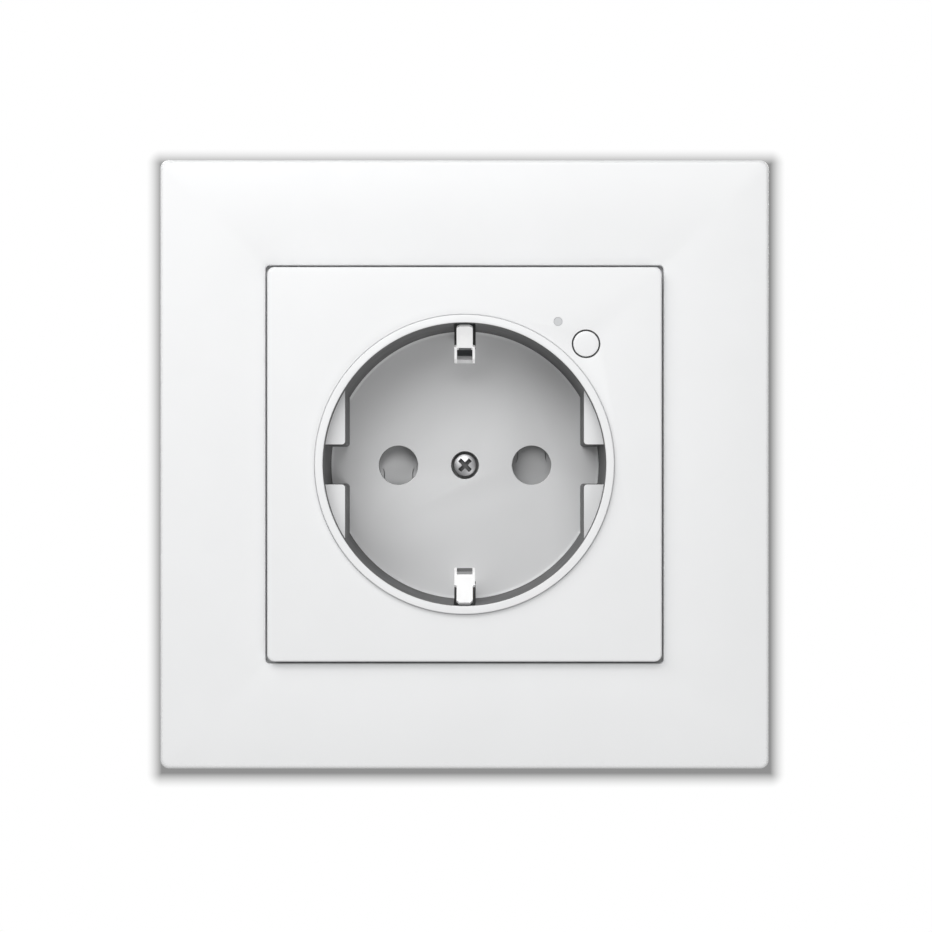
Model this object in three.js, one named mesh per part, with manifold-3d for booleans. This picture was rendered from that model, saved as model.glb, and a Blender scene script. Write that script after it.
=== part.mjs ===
// A flush-mounted smart socket outlet: square frame, cover plate with the plug well, and the insert
// behind it. Millimetres. X points right, Z up, and the front faces -Y. The wall's surface is y = 0,
// so what stands in the room has a negative y and what sits in the wall box a positive one.
import * as THREE from "three";
import { mergeVertices } from "three/addons/utils/BufferGeometryUtils.js";
import Module from "manifold-3d";

const wasm = await Module();
wasm.setup();

// Driving dimensions: what stands in the room.
const FRAME_SIZE = 85;
const FRAME_FRONT = -9;
const FRAME_SKIN = 2;
const FRAME_CORNER = 1.2;
const PLATE_SIZE = 55;
const PLATE_FRONT = -10.5;
const PLATE_SKIN = 2;
const PLATE_CORNER = 1;
const PLATE_GAP = 0.25;
const LEDGE_WIDTH = 1.75;
const COLLAR_FRONT = -11.3;
const COLLAR_RADIUS = 20.85;

// The plug well and its floor.
const WELL_RADIUS = 19.75;
const WELL_FLOOR_RADIUS = 19.15;
const WELL_FLOOR = 6.2;
const CUP_RADIUS = 21.2;
const CUP_BACK = 8;
const GUIDE_FLAT = 16.55;
const GUIDE_GROOVE = 2.7;
const GUIDE_FRONT = -8.3;
const PIN_OFFSET = 9.5;
const PIN_HOLE_RADIUS = 2.775;
const PIN_REACH = 25.2;
const CLIP_SLOT_WIDTH = 3.04;
const CLIP_SLOT_START = 17;
const CLIP_SLOT_END = 22.6;
const SCREW_RECESS_RADIUS = 1.975;
const BOSS_RADIUS = 2.8;
const BOSS_BACK = 11.9;

// The button and the indicator, both on the diagonal beside the collar.
const BUTTON_X = 16.95;
const BUTTON_Z = 16.8;
const BUTTON_RADIUS = 1.775;
const BUTTON_HOLE_RADIUS = 2.015;
const LIGHT_X = 13.05;
const LIGHT_Z = 19.9;
const LIGHT_RADIUS = 0.6;

// The insert in the wall.
const MOUNT_SIZE = 71;
const MOUNT_THICKNESS = 1;
const BOX_SCREW_OFFSET = 30;
const BODY_SIZE = 50;
const BODY_CORNER = 16;
const BODY_WALL = 1.8;
const BODY_FRONT = 0.3;
const DECK_FRONT = 12.3;
const DECK_BACK = 14.3;
const SPLIT = 20;
const BODY_BACK = 34;
const BOARD_FRONT = 26.5;
const BOARD_THICKNESS = 1.4;
const POLE_PITCH = 8;
const CLEARANCE = 0.3;

const HOUSING_SCREWS = [
  [20.6, 4],
  [20.6, -12],
  [-20.6, 4],
  [-20.6, -12],
];
const RIVET_OFFSET = 17.8;
const HEADER_RADIUS = 24.2;

// ---------------------------------------------------------------- solids

function solidOf(geometry) {
  const bare = geometry.clone();
  bare.deleteAttribute("normal");
  bare.deleteAttribute("uv");
  const merged = mergeVertices(bare);
  return new wasm.Manifold(
    new wasm.Mesh({
      numProp: 3,
      vertProperties: merged.attributes.position.array,
      triVerts: new Uint32Array(merged.index.array),
    }),
  );
}

function geometryOf(solid) {
  const mesh = solid.getMesh();
  const geometry = new THREE.BufferGeometry();
  geometry.setAttribute("position", new THREE.BufferAttribute(mesh.vertProperties, 3));
  geometry.setIndex(new THREE.BufferAttribute(mesh.triVerts, 1));
  return geometry;
}

function join(first, ...others) {
  return geometryOf(others.reduce((sum, other) => sum.add(solidOf(other)), solidOf(first)));
}

function cut(body, ...tools) {
  return geometryOf(tools.reduce((rest, tool) => rest.subtract(solidOf(tool)), solidOf(body)));
}

// ---------------------------------------------------------------- shapes

function roundedRectangle(width, height, radius) {
  const shape = new THREE.Shape();
  const x = width / 2 - radius;
  const z = height / 2 - radius;
  shape.absarc(x, z, radius, 0, Math.PI / 2);
  shape.absarc(-x, z, radius, Math.PI / 2, Math.PI);
  shape.absarc(-x, -z, radius, Math.PI, 1.5 * Math.PI);
  shape.absarc(x, -z, radius, 1.5 * Math.PI, 2 * Math.PI);
  return shape;
}

// A shape drawn in X and Z, filled from y = front to y = back.
function slab(shape, front, back, curveSegments = 4) {
  const geometry = new THREE.ExtrudeGeometry(shape, {
    depth: back - front,
    bevelEnabled: false,
    curveSegments,
  });
  return geometry.rotateX(Math.PI / 2).translate(0, back, 0);
}

// A shape drawn in Y and Z, filled across X and centred on x = 0.
function across(shape, width) {
  const geometry = new THREE.ExtrudeGeometry(shape, { depth: width, bevelEnabled: false });
  const turn = new THREE.Matrix4().makeBasis(
    new THREE.Vector3(0, 1, 0),
    new THREE.Vector3(0, 0, 1),
    new THREE.Vector3(1, 0, 0),
  );
  return geometry.translate(0, 0, -width / 2).applyMatrix4(turn);
}

function block(x0, x1, y0, y1, z0, z1) {
  const geometry = new THREE.BoxGeometry(x1 - x0, y1 - y0, z1 - z0);
  return geometry.translate((x0 + x1) / 2, (y0 + y1) / 2, (z0 + z1) / 2);
}

// A round bar along Y at (x, z).
function bar(x, z, radius, front, back, segments = 20) {
  const geometry = new THREE.CylinderGeometry(radius, radius, back - front, segments);
  return geometry.translate(x, (front + back) / 2, z);
}

// A profile of [radius, y] points turned about the Y axis.
function turned(profile, segments = 64) {
  const closed = profile.map(([radius, y]) => new THREE.Vector2(radius, y));
  if (THREE.ShapeUtils.area(closed) < 0) closed.reverse();
  closed.push(closed[0].clone());
  return new THREE.LatheGeometry(closed, segments);
}

// The outline of a bent strip: a path of [y, z] points thickened by half the thickness on each side.
function strip(path, thickness) {
  const points = path.map(([y, z]) => new THREE.Vector2(y, z));
  const side = (sign) =>
    points.map((point, i) => {
      const before = points[Math.max(i - 1, 0)];
      const after = points[Math.min(i + 1, points.length - 1)];
      const into = point === before ? after.clone().sub(point) : point.clone().sub(before);
      const out = point === after ? into.clone() : after.clone().sub(point);
      const normal = into.normalize().add(out.normalize()).normalize();
      const reach = thickness / 2 / normal.dot(out);
      return point.clone().add(new THREE.Vector2(-normal.y, normal.x).multiplyScalar(sign * reach));
    });
  return new THREE.Shape([...side(1), ...side(-1).reverse()]);
}

// ---------------------------------------------------------------- materials

const finish = (color, roughness, metalness = 0) => () =>
  new THREE.MeshStandardMaterial({ color, roughness, metalness });

const whitePlastic = finish(0xf2f3f3, 0.4);
const clearPlastic = finish(0xe4e6e6, 0.15);
const shutterPlastic = finish(0xa9abad, 0.55);
const greyPlastic = finish(0x8c9093, 0.6);
const blackPlastic = finish(0x1d1e20, 0.5);
const relayPlastic = finish(0x2b3f63, 0.45);
const filmPlastic = finish(0xc8a83a, 0.45);
const plainSteel = finish(0xc9cccf, 0.35, 1);
const springSteel = finish(0xdadcde, 0.25, 1);
const brass = finish(0xc9a350, 0.3, 1);
const copper = finish(0xb87542, 0.35, 1);
const ferrite = finish(0x3a3a3c, 0.7);
const circuitBoard = finish(0x1f5a3a, 0.5);
const aluminium = finish(0xb9bcc0, 0.4, 1);
const glass = finish(0xd8e2e4, 0.1);
const ceramic = finish(0x2f5fa0, 0.4);

// ---------------------------------------------------------------- the front

function outerFrame() {
  const opening = PLATE_SIZE + 2 * PLATE_GAP;
  const hollow = FRAME_SIZE - 2 * FRAME_SKIN;
  const collar = opening + 2 * FRAME_SKIN;
  const skinBack = FRAME_FRONT + FRAME_SKIN;
  const shell = cut(
    slab(roundedRectangle(FRAME_SIZE, FRAME_SIZE, FRAME_CORNER), FRAME_FRONT, 0),
    slab(roundedRectangle(hollow, hollow, FRAME_CORNER / 2), skinBack, 1),
  );
  const ledge = slab(roundedRectangle(collar, collar, FRAME_CORNER), skinBack - 1, skinBack + 1.8);
  const throat = opening - 2 * LEDGE_WIDTH;
  return cut(
    join(shell, ledge),
    slab(roundedRectangle(opening, opening, PLATE_CORNER), FRAME_FRONT - 1, skinBack),
    slab(roundedRectangle(throat, throat, PLATE_CORNER), FRAME_FRONT, 1),
  );
}

// What is hollow in the well: a tapered round space less the four guide blocks.
function wellSpace() {
  const mouth = COLLAR_FRONT - 1;
  const space = turned([
    [0, mouth],
    [WELL_RADIUS, mouth],
    [WELL_RADIUS, COLLAR_FRONT],
    [WELL_FLOOR_RADIUS, WELL_FLOOR],
    [0, WELL_FLOOR],
  ]);
  const far = WELL_RADIUS + 1;
  const blocks = [-1, 1].flatMap((side) =>
    [-1, 1].map((half) => {
      const x = side * (GUIDE_FLAT + far) / 2;
      const z = half * (GUIDE_GROOVE + far) / 2;
      const shape = new THREE.BoxGeometry(
        far - GUIDE_FLAT,
        WELL_FLOOR + 1 - GUIDE_FRONT,
        far - GUIDE_GROOVE,
      );
      return shape.translate(x, (WELL_FLOOR + 1 + GUIDE_FRONT) / 2, z);
    }),
  );
  return cut(space, ...blocks);
}

function coverPlate() {
  const edge = 1.2;
  const plateBack = FRAME_FRONT + FRAME_SKIN - 0.2;
  const inside = PLATE_SIZE - 2 * edge;
  const plate = cut(
    slab(roundedRectangle(PLATE_SIZE, PLATE_SIZE, PLATE_CORNER), PLATE_FRONT, plateBack),
    slab(roundedRectangle(inside, inside, PLATE_CORNER / 2), PLATE_FRONT + PLATE_SKIN, 0),
  );
  const cup = turned([
    [0, COLLAR_FRONT],
    [COLLAR_RADIUS, COLLAR_FRONT],
    [COLLAR_RADIUS, PLATE_FRONT + 1],
    [CUP_RADIUS, PLATE_FRONT + 1],
    [CUP_RADIUS, CUP_BACK],
    [BOSS_RADIUS, CUP_BACK],
    [BOSS_RADIUS, BOSS_BACK],
    [0, BOSS_BACK],
  ]);
  const postFront = PLATE_FRONT + PLATE_SKIN - 0.5;
  const posts = [
    [23.9, 10],
    [10, 23.9],
  ].map(([x, z]) => bar(x, z, 1.2, postFront, -4.25, 12));
  const slotFront = PLATE_FRONT + 0.7;
  const slot = (near, far) =>
    block(-CLIP_SLOT_WIDTH / 2, CLIP_SLOT_WIDTH / 2, slotFront, CUP_BACK + 1, near, far);
  return cut(
    join(plate, cup, ...posts),
    wellSpace(),
    slot(CLIP_SLOT_START, CLIP_SLOT_END),
    slot(-CLIP_SLOT_END, -CLIP_SLOT_START),
    bar(PIN_OFFSET, 0, PIN_HOLE_RADIUS, WELL_FLOOR - 1, CUP_BACK + 1, 32),
    bar(-PIN_OFFSET, 0, PIN_HOLE_RADIUS, WELL_FLOOR - 1, CUP_BACK + 1, 32),
    bar(0, 0, SCREW_RECESS_RADIUS, WELL_FLOOR - 1, WELL_FLOOR + 2.6, 24),
    bar(0, 0, 1.45, WELL_FLOOR, BOSS_BACK + 1, 16),
    bar(BUTTON_X, BUTTON_Z, BUTTON_HOLE_RADIUS, PLATE_FRONT - 1, -8, 24),
    bar(LIGHT_X, LIGHT_Z, LIGHT_RADIUS + 0.05, PLATE_FRONT - 1, -8, 16),
  );
}

function coverScrew() {
  const headRadius = 1.65;
  const headFront = WELL_FLOOR + 0.05;
  const headBack = headFront + 2.3;
  const screw = turned(
    [
      [0, headFront],
      [headRadius * 0.6, headFront + 0.12],
      [headRadius, headFront + 0.6],
      [headRadius, headBack],
      [1.2, headBack],
      [1.2, 17.8],
      [0, 18.4],
    ],
    20,
  );
  const arm = () => block(-1.1, 1.1, headFront - 1, headFront + 0.9, -0.2, 0.2);
  return cut(screw, arm().rotateY(Math.PI / 4), arm().rotateY(-Math.PI / 4));
}

function pushButton() {
  return turned(
    [
      [0, PLATE_FRONT - 0.15],
      [BUTTON_RADIUS * 0.7, PLATE_FRONT - 0.1],
      [BUTTON_RADIUS, PLATE_FRONT + 0.15],
      [BUTTON_RADIUS, -8.2],
      [2.6, -8.2],
      [2.6, -7.5],
      [1.1, -7.5],
      [1.1, -6.15],
      [0, -6.15],
    ],
    24,
  );
}

function lightPipe() {
  return turned(
    [
      [0, PLATE_FRONT + 0.05],
      [LIGHT_RADIUS, PLATE_FRONT + 0.05],
      [LIGHT_RADIUS, -8.2],
      [1.1, -8.2],
      [1.1, -7.4],
      [LIGHT_RADIUS, -7.4],
      [LIGHT_RADIUS, -5.2],
      [0, -5.2],
    ],
    16,
  );
}

// ---------------------------------------------------------------- the control board

const CONTROL_FRONT = -4.2;
const CONTROL_BACK = -3.2;

// A corner board: square outside, hollowed by the cup.
function controlBoard() {
  const hollow = CUP_RADIUS + 0.6;
  const outside = 25.4;
  const start = THREE.MathUtils.degToRad(20);
  const low = hollow * Math.sin(start);
  const shape = new THREE.Shape();
  shape.absarc(0, 0, hollow, start, Math.PI / 2 - start);
  shape.lineTo(low, outside);
  shape.lineTo(outside, outside);
  shape.lineTo(outside, low);
  return slab(shape, CONTROL_FRONT, CONTROL_BACK);
}

// The switch under the button, with the well that its plunger sinks into.
function tactSwitch() {
  return cut(block(-1.5, 1.5, -1.4, -0.02, -1.5, 1.5), bar(0, 0, 0.85, -2, -0.5, 16));
}

function linkHeader() {
  const spacer = block(-3.6, 3.6, CONTROL_BACK + 0.05, -1.3, -0.9, 0.9);
  const pins = [-2.7, -0.9, 0.9, 2.7].map((x) =>
    block(x - 0.25, x + 0.25, -2, BOARD_FRONT - 0.2, -0.25, 0.25),
  );
  return join(spacer, ...pins);
}

// ---------------------------------------------------------------- the mounting plate

function mountingPlate() {
  const slotWidth = 4;
  const slotLength = 9;
  const upright = [-BOX_SCREW_OFFSET, BOX_SCREW_OFFSET].map((x) =>
    slab(roundedRectangle(slotWidth, slotLength, slotWidth / 2 - 0.01), -2, 1).translate(x, 0, 0),
  );
  const level = [-BOX_SCREW_OFFSET, BOX_SCREW_OFFSET].map((z) =>
    slab(roundedRectangle(slotLength, slotWidth, slotWidth / 2 - 0.01), -2, 1).translate(0, 0, z),
  );
  const headerNotch = block(-4.4, 4.4, -2, 1, -1.6, 1.6)
    .translate(0, 0, HEADER_RADIUS - 0.2)
    .rotateY(Math.PI / 4);
  return cut(
    slab(roundedRectangle(MOUNT_SIZE, MOUNT_SIZE, 6), -MOUNT_THICKNESS, 0),
    bar(0, 0, 22.2, -2, 1, 48),
    ...upright,
    ...level,
    headerNotch,
    bar(-RIVET_OFFSET, RIVET_OFFSET, 1.4, -2, 1, 12),
    bar(RIVET_OFFSET, -RIVET_OFFSET, 1.4, -2, 1, 12),
  );
}

function plateRivet() {
  return turned(
    [
      [0, -1.9],
      [1.4, -1.8],
      [2.3, -1.05],
      [1.2, -1.05],
      [1.2, 7],
      [0, 7],
    ],
    16,
  );
}

// ---------------------------------------------------------------- the shutter

function shutter() {
  const front = CUP_BACK + 0.3;
  const back = front + 2;
  const wing = PIN_HOLE_RADIUS + 0.55;
  const body = join(
    block(-PIN_OFFSET, PIN_OFFSET, front, back, -2.2, 2.2),
    bar(0, 0, 4.7, front, back, 32),
    bar(PIN_OFFSET, 0, wing, front, back, 24),
    bar(-PIN_OFFSET, 0, wing, front, back, 24),
  );
  return cut(body, bar(0, 0, BOSS_RADIUS + 0.2, front - 1, back + 1, 32));
}

class Coil extends THREE.Curve {
  constructor(radius, pitch, turns) {
    super();
    this.radius = radius;
    this.pitch = pitch;
    this.turns = turns;
  }

  getPoint(t) {
    const angle = 2 * Math.PI * this.turns * t;
    return new THREE.Vector3(
      this.radius * Math.cos(angle),
      this.pitch * this.turns * t,
      this.radius * Math.sin(angle),
    );
  }
}

function shutterSpring() {
  const wire = new THREE.Shape().absarc(0, 0, 0.17, 0, 2 * Math.PI);
  const turns = 2.75;
  const coil = new Coil(3.6, 0.42, turns);
  const geometry = new THREE.ExtrudeGeometry(wire, {
    steps: Math.round(16 * turns),
    curveSegments: 3,
    extrudePath: coil,
  });
  return geometry.translate(0, CUP_BACK + 2.6, 0);
}

// ---------------------------------------------------------------- housings

function bodyOutline(inset = 0) {
  return roundedRectangle(BODY_SIZE - 2 * inset, BODY_SIZE - 2 * inset, BODY_CORNER - inset);
}

function baseHousing() {
  const tunnelWall = 1;
  const tunnel = (x, wall, front) =>
    block(x - 3 - wall, x + 3 + wall, front, SPLIT, -3.5 - wall, 3.5 + wall);
  const rivetBoss = (x, z) => bar(x, z, 2.6, BODY_FRONT, DECK_FRONT + 0.5, 16);
  const shell = cut(
    slab(bodyOutline(), BODY_FRONT, SPLIT, 8),
    slab(bodyOutline(BODY_WALL), 0, DECK_FRONT, 8),
    slab(bodyOutline(BODY_WALL), DECK_BACK, SPLIT + 1, 8),
  );
  const clipWindow = (z) => block(-1.8, 1.8, DECK_FRONT - 1, DECK_BACK + 1, z - 1.6, z + 1.6);
  const headerNotch = block(-4.2, 4.2, DECK_FRONT - 1, DECK_BACK + 1, -1.1, 1.1)
    .translate(0, 0, HEADER_RADIUS)
    .rotateY(Math.PI / 4);
  return cut(
    join(
      shell,
      tunnel(PIN_OFFSET, tunnelWall, DECK_BACK - 0.5),
      tunnel(-PIN_OFFSET, tunnelWall, DECK_BACK - 0.5),
      rivetBoss(-RIVET_OFFSET, RIVET_OFFSET),
      rivetBoss(RIVET_OFFSET, -RIVET_OFFSET),
      ...HOUSING_SCREWS.map(([x, z]) => bar(x, z, 2.1, DECK_BACK - 0.5, SPLIT, 16)),
    ),
    tunnel(PIN_OFFSET, 0, DECK_BACK).translate(0, 0.5, 0),
    tunnel(-PIN_OFFSET, 0, DECK_BACK).translate(0, 0.5, 0),
    bar(PIN_OFFSET, 0, PIN_HOLE_RADIUS + 0.2, DECK_FRONT - 1, DECK_BACK + 1, 24),
    bar(-PIN_OFFSET, 0, PIN_HOLE_RADIUS + 0.2, DECK_FRONT - 1, DECK_BACK + 1, 24),
    bar(0, 0, 1.6, DECK_FRONT - 1, DECK_BACK + 1, 16),
    clipWindow(18.2),
    clipWindow(-18.2),
    headerNotch,
    bar(-RIVET_OFFSET, RIVET_OFFSET, 1.4, 0, 9, 12),
    bar(RIVET_OFFSET, -RIVET_OFFSET, 1.4, 0, 9, 12),
    ...HOUSING_SCREWS.map(([x, z]) => bar(x, z, 1.25, DECK_BACK + 0.4, SPLIT + 1, 12)),
  );
}

function rearCover() {
  const front = SPLIT + CLEARANCE;
  const wallFront = BODY_BACK - BODY_WALL;
  const shell = cut(
    slab(bodyOutline(), front, BODY_BACK, 8),
    slab(bodyOutline(BODY_WALL), front - 1, wallFront, 8),
  );
  const poles = [-POLE_PITCH, 0, POLE_PITCH];
  const wireHoles = poles.flatMap((x) =>
    [-1.9, 1.9].map((side) => bar(x + side, WIRE_Z, 1.55, wallFront - 1, BODY_BACK + 1, 16)),
  );
  const releaseHoles = poles.map((x) =>
    block(x - 2.35, x + 2.35, wallFront - 1, BODY_BACK + 1, RELEASE_Z - 1.45, RELEASE_Z + 1.45),
  );
  return cut(
    join(shell, ...HOUSING_SCREWS.map(([x, z]) => bar(x, z, 2.1, front, wallFront + 0.5, 16))),
    ...wireHoles,
    ...releaseHoles,
    ...HOUSING_SCREWS.map(([x, z]) => bar(x, z, 1.25, front - 1, BODY_BACK + 1, 12)),
    ...HOUSING_SCREWS.map(([x, z]) => bar(x, z, 2.05, BODY_BACK - 1.5, BODY_BACK + 1, 16)),
  );
}

function housingScrew() {
  const headBack = BODY_BACK - 0.1;
  const headFront = headBack - 1.3;
  const screw = turned(
    [
      [0, 15.2],
      [1.05, 16.4],
      [1.05, headFront],
      [1.85, headFront],
      [1.85, headBack],
      [0, headBack],
    ],
    16,
  );
  const arm = () => block(-1.2, 1.2, headBack - 0.7, headBack + 1, -0.22, 0.22);
  return cut(screw, arm(), arm().rotateY(Math.PI / 2));
}

// ---------------------------------------------------------------- the earth path

const EARTH_FOOT_Y = 14.9;
const EARTH_FOOT_Z = 18.2;

function earthBracket() {
  const front = DECK_BACK + 0.2;
  const back = front + 0.8;
  const window = (z) => block(-1.7, 1.7, front - 1, back + 1, z - 1, z + 1);
  return cut(
    join(block(-3, 3, front, back, -20.4, 20.4), bar(0, 0, 2.6, front, back + 2.1, 20)),
    bar(0, 0, 1.4, front - 1, back + 4, 16),
    window(EARTH_FOOT_Z),
    window(-EARTH_FOOT_Z),
  );
}

// A bow of spring strip: it hooks into the bracket, rises through the floor's slot, leans in to the
// nose that touches the plug, and leans out again to its tip behind the collar.
function earthClip(windowLow, windowHigh) {
  const thickness = 0.8;
  const foot = [
    [16.2, EARTH_FOOT_Z + 1.1],
    [16.2, EARTH_FOOT_Z],
    [8.5, 17.8],
    [4.6, 17.5],
    [-0.6, 14.95],
  ];
  const nose = [
    [-0.6, 14.95],
    [-1.9, 14.7],
    [-2.9, 15.2],
    [-3.93, 16.8],
  ];
  const tongue = [
    [-2.9, 15.2],
    [-5.6, 19.4],
  ];
  return cut(
    join(
      across(strip(foot, thickness), 2.2),
      across(strip(nose, thickness), 2.84),
      across(strip(tongue, thickness), 2.25),
    ),
    block(-1.08, 1.08, -7, -1.1, windowLow, windowHigh),
  );
}

// ---------------------------------------------------------------- contacts and terminals

const WIRE_Z = -19.3;
const RELEASE_Z = -15;

function pinContact() {
  const half = [
    [15.4, 3.05],
    [18.2, 2.65],
    [23.6, 3],
    [PIN_REACH + 0.5, 2.6],
  ];
  const mirrored = half.map(([y, z]) => [y, -z]).reverse();
  return across(strip([...half, ...mirrored], 0.6), 5.4);
}

function terminalCage() {
  const shape = new THREE.Shape([
    new THREE.Vector2(31, -22.4),
    new THREE.Vector2(31, -21.7),
    new THREE.Vector2(21.7, -21.7),
    new THREE.Vector2(21.7, -16.6),
    new THREE.Vector2(21, -16.6),
    new THREE.Vector2(21, -22.4),
  ]);
  return across(shape, 7);
}

function clampSpring() {
  const path = [
    [22.7, -14],
    [22.7, -17.6],
    [23.6, -18.6],
    [28.6, -21.2],
  ];
  return across(strip(path, 0.4), 5.6);
}

function releaseButton() {
  const flange = block(-2.6, 2.6, 30.6, 31.6, RELEASE_Z - 1.75, RELEASE_Z + 1.75);
  const stem = block(-2.1, 2.1, 24.4, 34.6, RELEASE_Z - 1.2, RELEASE_Z + 1.2);
  return join(stem, flange);
}

// A flat link from a terminal's front wall, straight up or bent back towards the power board.
function linkBar(path) {
  return across(strip(path, 0.6), 3.6);
}

// ---------------------------------------------------------------- the power board

function powerBoard() {
  const back = BOARD_FRONT + BOARD_THICKNESS;
  const cutouts = HOUSING_SCREWS.map(([x, z]) => bar(x, z, 2.5, BOARD_FRONT - 1, back + 1, 16));
  return cut(
    slab(bodyOutline(BODY_WALL + 0.5), BOARD_FRONT, back, 8),
    block(-25, 25, BOARD_FRONT - 1, back + 1, -25, -12.6),
    ...cutouts,
  );
}

function transformerCore() {
  const shape = new THREE.Shape([
    new THREE.Vector2(-4.2, -4),
    new THREE.Vector2(4.2, -4),
    new THREE.Vector2(4.2, 4),
    new THREE.Vector2(-4.2, 4),
  ]);
  for (const side of [-1, 1]) {
    const window = new THREE.Path();
    window.absellipse(side * 2.1, 0, 0.9, 2.8, 0, 2 * Math.PI, true);
    shape.holes.push(window);
  }
  return new THREE.ExtrudeGeometry(shape, { depth: 4, bevelEnabled: false, curveSegments: 6 });
}

function transformerWinding() {
  return cut(
    block(-2.5, 2.5, -1.9, 1.9, -1.9, 5.9),
    block(-1.5, 1.5, -3, 3, -0.3, 4.3),
  );
}

function can(radius, length) {
  const bevel = 0.4;
  return turned(
    [
      [0, 0],
      [radius - bevel, 0],
      [radius, bevel],
      [radius, length],
      [0, length],
    ],
    20,
  );
}

function fuse() {
  const tube = new THREE.CylinderGeometry(1.4, 1.4, 9, 14);
  const cap = (x) => new THREE.CylinderGeometry(1.6, 1.6, 1.8, 14).translate(0, x, 0);
  return join(tube, cap(-3.8), cap(3.8)).rotateZ(Math.PI / 2);
}

function radioShield() {
  return cut(block(-6, 6, 0, 1.8, -6.5, 6.5), block(-5.7, 5.7, -1, 1.5, -6.2, 6.2));
}

// ---------------------------------------------------------------- the assembly

const socket = new THREE.Group();

function add(name, geometry, material, parent = socket) {
  const mesh = new THREE.Mesh(geometry, material());
  mesh.name = name;
  parent.add(mesh);
  return mesh;
}

add("outer_frame", outerFrame(), whitePlastic);
add("cover_plate", coverPlate(), whitePlastic);
add("cover_screw", coverScrew(), plainSteel);
add("push_button", pushButton(), whitePlastic).position.set(BUTTON_X, 0, BUTTON_Z);
add("light_pipe", lightPipe(), clearPlastic).position.set(LIGHT_X, 0, LIGHT_Z);

add("control_board", controlBoard(), circuitBoard);
const switchPlace = new THREE.Group();
switchPlace.position.set(BUTTON_X, CONTROL_FRONT, BUTTON_Z);
switchPlace.rotation.y = Math.PI / 4;
socket.add(switchPlace);
add("tact_switch", tactSwitch(), blackPlastic, switchPlace);
add("tact_plunger", bar(0, 0, 0.7, -1.9, -1.2, 12), greyPlastic, switchPlace);
add("status_led", block(-0.6, 0.6, -0.62, -0.02, -0.4, 0.4), clearPlastic).position.set(
  LIGHT_X,
  CONTROL_FRONT,
  LIGHT_Z,
);
const headerPlace = new THREE.Group();
headerPlace.rotation.y = Math.PI / 4;
socket.add(headerPlace);
add("link_header", linkHeader(), blackPlastic, headerPlace).position.z = HEADER_RADIUS;

add("mounting_plate", mountingPlate(), plainSteel);
add("upper_plate_rivet", plateRivet(), plainSteel).position.set(-RIVET_OFFSET, 0, RIVET_OFFSET);
add("lower_plate_rivet", plateRivet(), plainSteel).position.set(RIVET_OFFSET, 0, -RIVET_OFFSET);

add("shutter", shutter(), shutterPlastic);
add("shutter_spring", shutterSpring(), springSteel);

add("base_housing", baseHousing(), greyPlastic);
add("rear_cover", rearCover(), greyPlastic);
HOUSING_SCREWS.forEach(([x, z], i) => {
  add(`housing_screw_${i + 1}`, housingScrew(), plainSteel).position.set(x, 0, z);
});

add("earth_bracket", earthBracket(), plainSteel);
add("upper_earth_clip", earthClip(15.3, 16.2), springSteel);
add("lower_earth_clip", earthClip(14.95, 15.5), springSteel).rotation.y = Math.PI;

add("line_contact", pinContact(), brass).position.x = -PIN_OFFSET;
add("neutral_contact", pinContact(), brass).position.x = PIN_OFFSET;

for (const [pole, x] of [["line", -POLE_PITCH], ["earth", 0], ["neutral", POLE_PITCH]]) {
  add(`${pole}_terminal`, terminalCage(), brass).position.x = x;
  add(`${pole}_clamp_spring`, clampSpring(), springSteel).position.x = x;
  add(`${pole}_release`, releaseButton(), whitePlastic).position.x = x;
}
const barY = SPLIT + 0.5;
const barFoot = [barY, -21.8];
add("line_bar", linkBar([barFoot, [barY, -11.6], [BOARD_FRONT - 0.4, -11.6]]), copper)
  .position.x = -POLE_PITCH;
add("neutral_bar", linkBar([barFoot, [barY, -3.5]]), copper).position.x = POLE_PITCH;
add("earth_bar", linkBar([[15.6, -19.8], [barY + 0.1, -19.8]]), copper);
add("relay_bar", linkBar([[25.8, 3.5], [25.8, 6.3]]), copper).position.x = -PIN_OFFSET;

add("power_board", powerBoard(), circuitBoard);
add("relay", block(-10, 8.5, 16.3, BOARD_FRONT - 0.2, 6.6, 16.8), relayPlastic);
add("transformer_core", transformerCore(), ferrite).position.set(-15.4, 21.6, 9.3);
add("transformer_winding", transformerWinding(), copper).position.set(-15.4, 21.6, 9.3);
add("bulk_capacitor", can(4, 9.6), blackPlastic).position.set(13.4, 16.6, 12.4);
add("output_capacitor", can(2.5, 7), aluminium).position.set(16.6, 19.2, -1);
add("suppression_capacitor", block(-18, -11, 18.6, 26.2, -10.8, -5.6), filmPlastic);
add("varistor", can(3.4, 2.4).rotateZ(Math.PI / 2), ceramic).position.set(-1.3, 22.6, 0);
add("fuse", fuse(), glass).position.set(1, 24.4, -8);
add("bridge_rectifier", block(11.5, 17.5, 23.2, 26.2, -10, -5.5), blackPlastic);
const radioPlace = new THREE.Group();
radioPlace.position.set(0, BOARD_FRONT + BOARD_THICKNESS + CLEARANCE, 3);
socket.add(radioPlace);
add("radio_board", block(-8, 8, 0, 0.8, -11, 11), circuitBoard, radioPlace);
add("radio_shield", radioShield(), aluminium, radioPlace).position.y = 1.1;

export default socket;
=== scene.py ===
"""Looks of the flush smart socket: finer casings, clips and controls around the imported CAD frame.

Metres, X right, Z up, and the front faces -Y. The wall's surface is y = 0.
"""

import math

import bmesh
import bpy
from mathutils import Matrix, Vector


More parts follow.
